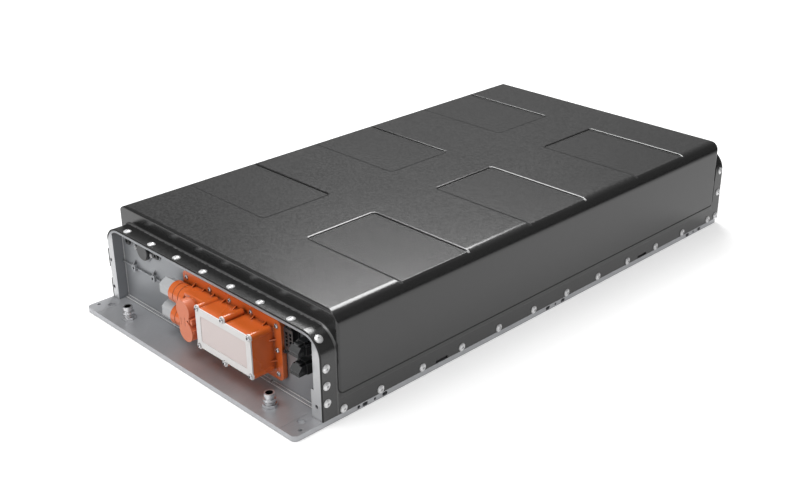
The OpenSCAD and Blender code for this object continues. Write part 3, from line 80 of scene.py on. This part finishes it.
class Graph:
    """A short way to add and join shader nodes."""

    def __init__(self, tree):
        self.tree = tree
        self.tree.nodes.clear()

    def put(self, socket, value):
        """Links a socket, or sets a constant."""
        if isinstance(value, bpy.types.NodeSocket):
            self.tree.links.new(value, socket)
        else:
            socket.default_value = value

    def add(self, kind, inputs=None, **settings):
        node = self.tree.nodes.new(kind)
        for key, value in settings.items():
            setattr(node, key, value)
        for key, value in (inputs or {}).items():
            self.put(node.inputs[key], value)
        return node

    def math(self, operation, a, b=0.0):
        return self.add("ShaderNodeMath", {0: a, 1: b}, operation=operation).outputs[0]

    def product(self, first, *others):
        for other in others:
            first = self.math("MULTIPLY", first, other)
        return first

    def vector(self, operation, a, b=(0, 0, 0)):
        """A vector from vectors."""
        return self.add("ShaderNodeVectorMath", {0: a, 1: b}, operation=operation).outputs[0]

    def measure(self, operation, a, b=(0, 0, 0)):
        """A number from vectors."""
        node = self.add("ShaderNodeVectorMath", {0: a, 1: b}, operation=operation)
        return node.outputs["Value"]

    def parts(self, vector):
        return self.add("ShaderNodeSeparateXYZ", {"Vector": vector}).outputs

    def joined(self, x, y, z=0.0):
        return self.add("ShaderNodeCombineXYZ", {"X": x, "Y": y, "Z": z}).outputs[0]

    def normal(self):
        return self.add("ShaderNodeNewGeometry").outputs["Normal"]

    def noise(self, vector, scale, detail=3.0, roughness=0.55):
        inputs = {"Vector": vector, "Scale": scale, "Detail": detail, "Roughness": roughness}
        return self.add("ShaderNodeTexNoise", inputs).outputs["Fac"]

    def spread(self, value, low, high, start=0.3, end=0.7):
        """low up to start, high from end on, and a ramp between."""
        inputs = {"Value": value, "From Min": start, "From Max": end, "To Min": low, "To Max": high}
        return self.add("ShaderNodeMapRange", inputs).outputs["Result"]

    def line(self, distance, offset, core, fade):
        """1 along one distance to an outline, down to 0 at fade from it."""
        away = self.math("ABSOLUTE", self.math("SUBTRACT", distance, offset))
        return self.spread(away, 1.0, 0.0, start=core, end=fade)

    def grey(self, level):
        inputs = {"Red": level, "Green": level, "Blue": level}
        return self.add("ShaderNodeCombineColor", inputs).outputs["Color"]

    def mix(self, factor, a, b, blend="MIX"):
        """Mixes colours. The mix node has its colour sockets at 6 and 7, and at output 2."""
        node = self.add("ShaderNodeMix", data_type="RGBA", blend_type=blend)
        for index, value in ((0, factor), (6, a), (7, b)):
            self.put(node.inputs[index], value)
        return node.outputs[2]

    def mix_vectors(self, factor, a, b):
        """Mixes vectors. The mix node has its vector sockets at 4 and 5, and at output 1."""
        return self.add("ShaderNodeMix", {0: factor, 4: a, 5: b}, data_type="VECTOR").outputs[1]

    def surface(self, shader, kind="ShaderNodeOutputMaterial"):
        self.add(kind, {"Surface": shader})


def new_material(name):
    material = bpy.data.materials.new(name)
    material.use_nodes = True
    return material, Graph(material.node_tree)


def finish_of(name, code, rough, metal=0.0, grain=900.0, depth=0.00004, mottle=0.08, wear=0.15,
              dirt=0.5, reach=0.005, worn_code=None, stretch=(1, 1, 1), edge=0.0006, coat=0.0,
              specular=0.5, mask=None, other=None):
    """A material with mottled colour, uneven gloss, a fine grain, edges lighter by wear and by a
    painted highlight, and painted shade darkening its crevices.

    Colours are sRGB codes. mask is a function that returns a 0 to 1 socket, which mixes in the
    colour and the roughness held in other.
    """
    material, g = new_material(name)
    colour = srgb(code)
    place = g.add("ShaderNodeTexCoord").outputs["Object"]
    mapped = g.add("ShaderNodeMapping", {"Vector": place, "Scale": stretch}).outputs["Vector"]
    broad = g.noise(place, scale=7.0, detail=4.0)
    fine = g.noise(mapped, scale=grain, detail=2.0, roughness=0.6)
    middle = g.noise(mapped, scale=grain * 0.18)
    scuffs = g.spread(g.noise(place, scale=60.0, detail=5.0, roughness=0.7), 0.2, 1.0)

    round_edge = g.add("ShaderNodeBevel", {"Radius": edge}, samples=6).outputs["Normal"]
    turn = g.measure("DOT_PRODUCT", round_edge, g.normal())
    # Lighter edges: partly wear, partly a painted highlight where the edges would catch the light.
    worn = g.product(g.spread(turn, 1.0, 0.0, start=0.86, end=0.985), scuffs, wear)
    # Painted shade: where ambient occlusion finds a crevice or recess, the colour is darkened
    # towards a dark copy of itself.
    openness = g.add("ShaderNodeAmbientOcclusion", {"Distance": reach}, samples=4).outputs["AO"]
    painted_crevice_shade = g.product(g.spread(openness, 1.0, 0.0, start=0.25, end=0.9), dirt)

    base = colour
    gloss = g.spread(broad, max(rough - 0.06, 0.05), min(rough + 0.08, 0.95))
    if mask is not None:
        other_code, other_rough = other
        where = mask(g, place)
        base = g.mix(where, colour, srgb(other_code))
        gloss = g.math("ADD", gloss, g.product(where, other_rough - rough))

    shade = g.math("ADD", g.spread(broad, -mottle, mottle), g.spread(fine, -mottle, mottle))
    toned = g.mix(1.0, base, g.grey(g.math("ADD", shade, 1.0)), "MULTIPLY")
    # The colour of the lighter edges, for wear and painted highlight alike.
    if worn_code:
        lighter = srgb(worn_code)
    else:
        lighter = (*(min(1.0, c * 1.6 + 0.03) for c in colour[:3]), 1.0)
    crevice_shade_colour = (*(c * 0.12 for c in colour[:3]), 1.0)
    coloured = g.mix(painted_crevice_shade, g.mix(worn, toned, lighter), crevice_shade_colour)
    bump = g.add("ShaderNodeBump", {
        "Strength": 1.0, "Distance": depth, "Height": g.math("ADD", fine, g.product(middle, 0.6)),
        "Normal": round_edge})
    shader = g.add("ShaderNodeBsdfPrincipled", {
        "Base Color": coloured, "Roughness": gloss, "Metallic": metal,
        "Normal": bump.outputs["Normal"], "Coat Weight": coat, "Coat Roughness": 0.12,
        "Specular IOR Level": specular})
    g.surface(shader.outputs["BSDF"])
    return material


def between(g, place, axis, low, high, soft=0.0008):
    """1 where a coordinate lies between low and high."""
    value = g.parts(place)[axis]
    up = g.spread(value, 0.0, 1.0, start=low - soft, end=low + soft)
    down = g.spread(value, 0.0, 1.0, start=high + soft, end=high - soft)
    return g.product(up, down)


def painted_frame_highlights(g, place):
    """Painted highlights on the frame's cast metal: lighter fronts of the posts, and bright lines
    on the step edges at the wall's foot and in the corners.
    """
    low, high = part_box("base_plate")
    normal = g.parts(g.normal())
    fronts = g.product(
        g.spread(normal["Y"], 1.0, 0.0, start=-0.9, end=-0.7),
        between(g, place, "Y", -FAR, low.y + POST_FRONTS),
        between(g, place, "Z", -1.0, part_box("front_frame")[1].z - 0.02, soft=0.012))
    first, second = (between(g, place, "Y", low.y + near, low.y + far, soft=0.0003)
                     for near, far in STEP_EDGES)
    steps = g.product(
        g.spread(normal["Z"], 0.0, 1.0, start=0.5, end=0.7), g.math("ADD", first, second),
        between(g, place, "Z", high.z + STEP_HEIGHTS[0], high.z + STEP_HEIGHTS[1]))
    corner = g.product(
        between(g, g.vector("ABSOLUTE", place), "X", *CORNER_X, soft=0.0004),
        between(g, place, "Y", low.y + CORNER_Y[0], low.y + CORNER_Y[1]))
    brightest = g.math("MAXIMUM", steps, g.product(corner, 0.7))
    return g.math("MAXIMUM", g.product(fronts, 0.4), brightest)


def painted_bore_shade(g, place):
    """1 in the bores of the two coolant nipples, where a near-black disc is painted as the bore's
    shade.
    """
    flat = g.vector("MULTIPLY", place, (1, 1, 0))
    found = 0.0
    for name in ("coolant_inlet", "coolant_outlet"):
        low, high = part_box(name)
        middle = ((low.x + high.x) / 2, (low.y + high.y) / 2, 0.0)
        reach = g.measure("DISTANCE", flat, middle)
        found = g.math("ADD", found, g.spread(reach, 1.0, 0.0, *BORE_EDGE))
    return found


def inset_field(g, place):
    """1 on the sunk middle field of the high-voltage cover."""
    low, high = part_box("hv_cover")
    inset = COVER_INSET + COVER_INSET_MORE
    return g.product(
        between(g, place, "X", low.x + COVER_INSET, high.x - COVER_INSET),
        between(g, place, "Z", low.z + inset, high.z - inset))


def rounded_distance(g, vector, half, radius):
    """Signed distance to the outline of a rounded rectangle centred on 0 in X and Y."""
    away = g.vector("ABSOLUTE", g.vector("MULTIPLY", vector, (1, 1, 0)))
    past = g.vector("SUBTRACT", away, (half[0] - radius, half[1] - radius, 0))
    parts = g.parts(past)
    inside = g.math("MINIMUM", g.math("MAXIMUM", parts["X"], parts["Y"]), 0.0)
    outside = g.vector("MULTIPLY", g.vector("MAXIMUM", past), (1, 1, 0))
    return g.math("SUBTRACT", g.math("ADD", g.measure("LENGTH", outside), inside), radius)


def hood_pads(g, parts, front):
    """Distance to the outline of the nearest pad, and the direction out of that pad."""
    across = g.math("SUBTRACT", g.math("ABSOLUTE", parts["X"]), PAD_INNER + PAD_HALF[0])
    row = g.math("SUBTRACT", parts["Y"], front + PAD_ROW)
    wrap = {0: row, 1: PAD_PITCH / 2, 2: -PAD_PITCH / 2}
    folded = g.add("ShaderNodeMath", wrap, operation="WRAP").outputs[0]
    place = g.joined(across, folded)
    size = g.vector("ABSOLUTE", place)
    sign = g.vector("DIVIDE", place, g.vector("ADD", size, (TINY, TINY, TINY)))
    straight = (PAD_HALF[0] - PAD_CORNER, PAD_HALF[1] - PAD_CORNER, 0)
    past = g.vector("MAXIMUM", g.vector("SUBTRACT", size, straight))
    away = g.vector("MULTIPLY", g.vector("NORMALIZE", past), sign)
    return rounded_distance(g, place, PAD_HALF, PAD_CORNER), away


def panel_outline_shade(g, parts, front, low, high):
    """1 along the outline of the raised side panels, where a painted shade line runs just outside
    it.
    """
    first, last = front + PANEL_FRONT, front + PANEL_REAR
    along = g.math("SUBTRACT", parts["Y"], (first + last) / 2)
    tall = g.math("SUBTRACT", parts["Z"], low.z + PANEL_FOOT + PANEL_HALF_TALL)
    half = ((last - first) / 2, PANEL_HALF_TALL)
    panel = rounded_distance(g, g.joined(along, tall), half, PANEL_CORNER)
    side = g.math("ABSOLUTE", parts["X"])
    return g.product(
        g.line(panel, offset=0.0012, core=0.0010, fade=0.0022),
        g.spread(side, 0.0, 1.0, start=high.x - 0.006, end=high.x - 0.004),
        g.spread(parts["Z"], 1.0, 0.0, start=high.z - 0.05, end=high.z - 0.04))


def hood_finish():
    """Satin black coating: speckle, pads with soft shoulders, painted shade lines round the side
    panels, at the pads' feet and along the front edge, a flange painted a shade lighter, and a
    painted highlight on the fillet behind it.
    """
    low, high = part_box("hood")
    front = low.y - PLATE_TO_FLANGE
    gutter = front + PANEL_FRONT
    material, g = new_material("hood coating")
    place = g.add("ShaderNodeTexCoord").outputs["Object"]
    parts = g.parts(place)
    broad = g.noise(place, scale=5.0)
    fine = g.noise(place, scale=185.0, detail=1.0, roughness=0.5)
    middle = g.noise(place, scale=150.0, detail=1.0, roughness=0.5)

    # The pads' shoulders, as normals that lean out of the pad and towards the middle and front.
    pad, away = hood_pads(g, parts, front)
    on_top = g.spread(parts["Z"], 0.0, 1.0, start=high.z - 0.006, end=high.z - 0.003)
    hand = g.product(g.math("SIGN", parts["X"]), -SHOULDER_LEAN)
    lean = g.vector("ADD", g.vector("MULTIPLY", away, g.joined(hand, -SHOULDER_LEAN)), (0, 0, 1))
    shoulder = g.product(g.line(pad, offset=0.001, core=0.001, fade=0.0045), on_top)
    round_edge = g.add("ShaderNodeBevel", {"Radius": 0.002}, samples=8).outputs["Normal"]
    shaped = g.vector("NORMALIZE", g.mix_vectors(shoulder, round_edge, lean))

    # Painted shade: near-black lines at the pads' feet, just outside the side panels' outline and
    # along the hood's front edge.
    pad_foot_shade = g.line(pad, offset=-0.0026, core=0.0003, fade=0.0012)
    painted_shade_lines = g.math("MAXIMUM", panel_outline_shade(g, parts, front, low, high), g.product(pad_foot_shade, on_top, 0.8))
    front_edge_shade = g.spread(parts["Y"], 1.0, 0.0, start=low.y + 0.001, end=low.y + 0.002)
    painted_shade_lines = g.math("MAXIMUM", painted_shade_lines, front_edge_shade)

    flange = between(g, place, "Y", -FAR, gutter - 0.006)
    fillet_highlight = between(g, place, "Y", gutter - 0.0052, gutter - 0.0008, soft=0.0004)
    upward = g.spread(g.parts(g.normal())["Z"], 0.08, 1.0, start=0.85, end=0.97)
    facing = g.product(upward, g.spread(flange, 1.0, 0.25, start=0.0, end=1.0))
    speckle = g.math("ADD", g.spread(fine, -0.55, 0.85, start=0.36, end=0.64),
                     g.spread(middle, -0.1, 0.1, start=0.4, end=0.6))
    tone = g.math("ADD", g.product(speckle, facing), g.spread(broad, -0.05, 0.05))
    # The flange is painted a shade lighter than the top as painted light, and the fillet between
    # the flange and the front wall carries a mid-grey painted highlight.
    ground = g.mix(fillet_highlight, g.mix(flange, srgb("202020"), srgb("2a2a2a")), srgb("505050"))
    toned = g.mix(1.0, ground, g.grey(g.math("ADD", tone, 1.0)), "MULTIPLY")
    gloss = g.math("ADD", g.spread(broad, 0.245, 0.255),
                   g.spread(fine, -0.012, 0.012, start=0.4, end=0.6))
    bump = g.add("ShaderNodeBump", {
        "Strength": 1.0, "Distance": 0.00008, "Height": g.product(fine, facing), "Normal": shaped})
    shader = g.add("ShaderNodeBsdfPrincipled", {
        "Base Color": g.mix(painted_shade_lines, toned, srgb("060606")),
        "Roughness": g.math("ADD", gloss, g.product(painted_shade_lines, 0.6)),
        "Normal": bump.outputs["Normal"], "Specular IOR Level": 0.7})
    g.surface(shader.outputs["BSDF"])
    return material


def cover_nodes(names, material):
    for name in names:
        data = NODES[name].data
        data.materials.clear()
        data.materials.append(material)


def paint(names, *values, **settings):
    """Makes a finish and gives it to the nodes that names lists, parted by spaces."""
    cover_nodes(names.split(), finish_of(*values, **settings))


def six(stem):
    return " ".join(f"{stem}_{k}" for k in range(1, 7))


def dress():
    """Gives each CAD node its material."""
    cover_nodes(["hood"], hood_finish())
    paint("base_plate", "plate aluminium", "b8b9bc", 0.4, metal=0.62, grain=420.0, depth=0.00002,
          mottle=0.035, stretch=(1, 0.12, 1), wear=0.4, worn_code="e4e4e6", edge=0.0008)
    paint("channel_cover", "cooling sheet", "a3a4a6", 0.42, metal=0.9, grain=300.0, depth=0.00002,
          stretch=(0.1, 1, 1), mottle=0.05)
    # The cast frame's mask paints near-white highlights on it.
    paint("front_frame rear_frame", "cast aluminium", "97999c", 0.42, metal=0.55, grain=1300.0,
          depth=0.00005, mottle=0.05, wear=0.9, worn_code="f0f1f3", edge=0.0012, dirt=0.6,
          reach=0.008, mask=painted_frame_highlights, other=("fafafa", 0.36))
    paint("side_rail_left side_rail_right", "rail aluminium", "f0f0f1", 0.4, metal=0.3,
          grain=500.0, depth=0.00002, stretch=(1, 0.08, 1), mottle=0.04)
    # The nipples' bores are painted near-black as shade.
    paint("coolant_inlet coolant_outlet", "turned aluminium", "d4d4d6", 0.3, metal=0.75,
          grain=900.0, depth=0.00002, stretch=(0.3, 0.3, 3), mottle=0.03, edge=0.0006, dirt=0.3,
          reach=0.004, mask=painted_bore_shade, other=("0c0c0c", 0.7))
    paint("side_screws end_flange_screws vent_screws controller_screws", "plated screws",
          "f8f8f9", 0.28, metal=0.4, grain=1400.0, depth=0.00001, mottle=0.03, wear=0.3,
          worn_code="ffffff", edge=0.0005, dirt=0.8, reach=0.002)
    paint("vent_cap blanking_plugs signal_header signal_plug_upper signal_plug_lower "
          "signal_frames test_port_cap", "black moulding", "1a1b1c", 0.3, grain=1600.0,
          depth=0.00003, mottle=0.08, wear=0.8, worn_code="77787a", edge=0.0009, specular=0.6,
          dirt=0.9, reach=0.003)
    paint("hood_seal hv_seal gland_seals", "seal rubber", "161617", 0.7, grain=1100.0,
          depth=0.00005, mottle=0.1)
    paint("hv_housing", "orange housing", "dc6a2c", 0.26, grain=800.0, depth=0.00002, mottle=0.03,
          wear=0.4, worn_code="f6a070", edge=0.0012, coat=0.3, dirt=0.8, reach=0.012)
    paint("service_plug", "orange plug", "dd7c56", 0.4, grain=1200.0, depth=0.00003, mottle=0.04,
          wear=0.3, worn_code="f4b08f", edge=0.0008)
    paint("hv_cover", "box cover", "e6e4e3", 0.35, grain=1000.0, depth=0.00002, mottle=0.012,
          wear=0.3, worn_code="ffffff", edge=0.0006, mask=inset_field, other=("ddd0cd", 0.3))
    paint("gland_nut_upper gland_nut_lower", "gland moulding", "babcbe", 0.38, grain=1100.0,
          depth=0.00002, mottle=0.03, wear=0.3, worn_code="e8e9ea", edge=0.0007)
    paint("hv_cover_screws hv_flange_screws", "box screws", "d8d8da", 0.24, metal=0.8,
          grain=1400.0, depth=0.00001, mottle=0.03, wear=0.4, worn_code="ffffff", edge=0.0005,
          dirt=1.0, reach=0.006)
    paint("service_contacts hv_busbars module_links", "copper bar", "c97e52", 0.28, metal=1.0,
          grain=500.0, depth=0.00002, stretch=(1, 0.2, 1), mottle=0.06)
    paint("main_contactors", "contactor case", "2e2f33", 0.4, grain=1500.0, depth=0.00003,
          mottle=0.08)
    paint("main_fuse", "fuse body", "e3dcc6", 0.2, grain=700.0, depth=0.00001, mottle=0.03,
          coat=0.4)
    paint("battery_controller", "controller case", "75777a", 0.5, metal=0.7, grain=1500.0,
          depth=0.00006, mottle=0.07)
    paint(six("cells"), "cell film", "35639c", 0.28, grain=400.0, depth=0.00002, mottle=0.03,
          wear=0.4, worn_code="b9c2cc")
    paint(six("module_frame"), "module aluminium", "aaacb0", 0.38, metal=0.9, grain=500.0,
          depth=0.00002, stretch=(1, 1, 0.1), mottle=0.04)
    paint(six("module_tray"), "module cover", "2b3733", 0.5, grain=1300.0, depth=0.00005,
          mottle=0.08)
    paint("cell_busbars", "cell busbar", "c3c5c7", 0.3, metal=1.0, grain=600.0, depth=0.00002,
          mottle=0.04)
    paint("module_bolts", "zinc bolt", "9fa2a5", 0.35, metal=1.0, grain=1300.0, depth=0.00002,
          mottle=0.06)
    paint("thermal_pads", "thermal pad", "d8c2cc", 0.75, grain=700.0, depth=0.00008, mottle=0.06)


def white_ground():
    """A pale floor that looks white and still keeps the object's shadow."""
    mesh = bpy.data.meshes.new("floor")
    half = 12.0
    corners = [(-half, -half, 0), (half, -half, 0), (half, half, 0), (-half, half, 0)]
    mesh.from_pydata(corners, [], [(0, 1, 2, 3)])
    floor = bpy.data.objects.new("floor", mesh)
    floor.location.z = -0.001
    SCENE.collection.objects.link(floor)
    material, g = new_material("floor")
    rays = g.add("ShaderNodeLightPath").outputs
    reach = g.measure("LENGTH", g.add("ShaderNodeTexCoord").outputs["Object"])
    seen = g.math("MAXIMUM", rays["Is Camera Ray"], rays["Is Transmission Ray"])
    direct = g.product(seen, g.spread(reach, 0.5, 1.0, start=1.2, end=2.8))
    mirrored = g.product(rays["Is Glossy Ray"], g.spread(reach, 0.5, 0.13, start=1.4, end=2.6))
    darker = g.product(rays["Is Glossy Ray"], g.spread(reach, 0.0, 0.5, start=1.4, end=2.6))
    shade = g.math("SUBTRACT", 0.7, darker)
    matte = g.add("ShaderNodeBsdfDiffuse", {"Color": g.grey(shade)}).outputs[0]
    glow = g.add("ShaderNodeEmission", {
        "Color": (1, 1, 1, 1), "Strength": g.math("ADD", direct, mirrored)}).outputs[0]
    g.surface(g.add("ShaderNodeAddShader", {0: matte, 1: glow}).outputs[0])
    mesh.materials.append(material)


def surroundings():
    """White to the eye. Reflections find a dimmer studio, darker in places and near the floor."""
    world = bpy.data.worlds.new("studio")
    SCENE.world = world
    world.use_nodes = True
    g = Graph(world.node_tree)
    rays = g.add("ShaderNodeLightPath").outputs
    seen = g.math("MAXIMUM", rays["Is Camera Ray"], rays["Is Transmission Ray"])
    way = g.add("ShaderNodeTexCoord").outputs["Generated"]
    glossy = g.spread(g.parts(way)["Z"], 0.3, 1.0, start=0.06, end=0.2)
    for direction, start, end, before, after in SECTORS:
        facing = g.measure("DOT_PRODUCT", way, Vector(direction).normalized())
        glossy = g.product(glossy, g.spread(facing, before, after, start=start, end=end))
    white, mirrored, dim = (
        g.add("ShaderNodeBackground", {"Color": (1, 1, 1, 1), "Strength": strength}).outputs[0]
        for strength in (1.0, glossy, DIM_LIGHT))
    unseen = g.add("ShaderNodeMixShader", {0: rays["Is Glossy Ray"], 1: dim, 2: mirrored})
    both = g.add("ShaderNodeMixShader", {0: seen, 1: unseen.outputs[0], 2: white})
    g.surface(both.outputs[0], "ShaderNodeOutputWorld")


def lamp(name, place, aim, size, power):
    data = bpy.data.lights.new(name, "AREA")
    data.shape = "RECTANGLE"
    data.size, data.size_y = size
    data.energy = power
    item = bpy.data.objects.new(name, data)
    item.location = place
    item.rotation_mode = "QUATERNION"
    item.rotation_quaternion = (Vector(aim) - Vector(place)).to_track_quat("-Z", "Y")
    SCENE.collection.objects.link(item)


def camera():
    """The photograph's viewpoint."""
    azimuth, elevation, roll = map(math.radians, (AZIMUTH, ELEVATION, ROLL))
    flat = math.cos(elevation)
    back = Vector((math.sin(azimuth) * flat, -math.cos(azimuth) * flat, math.sin(elevation)))
    right = (-back).cross(Vector((0, 0, 1))).normalized()
    up = right.cross(-back)
    turned_right = right * math.cos(roll) + up * math.sin(roll)
    turned_up = up * math.cos(roll) - right * math.sin(roll)
    turn = Matrix((turned_right, turned_up, back)).transposed()
    data = bpy.data.cameras.new("camera")
    data.sensor_width = SENSOR_WIDTH
    data.lens = FOCAL_PIXELS / PHOTO_WIDTH * SENSOR_WIDTH
    item = bpy.data.objects.new("camera", data)
    item.matrix_world = Matrix.Translation(CAMERA_PLACE) @ turn.to_4x4()
    SCENE.collection.objects.link(item)
    SCENE.camera = item


camera()
dress()
white_ground()
surroundings()
for values in LAMPS:
    lamp(*values)
SCENE.view_settings.view_transform = "Standard"
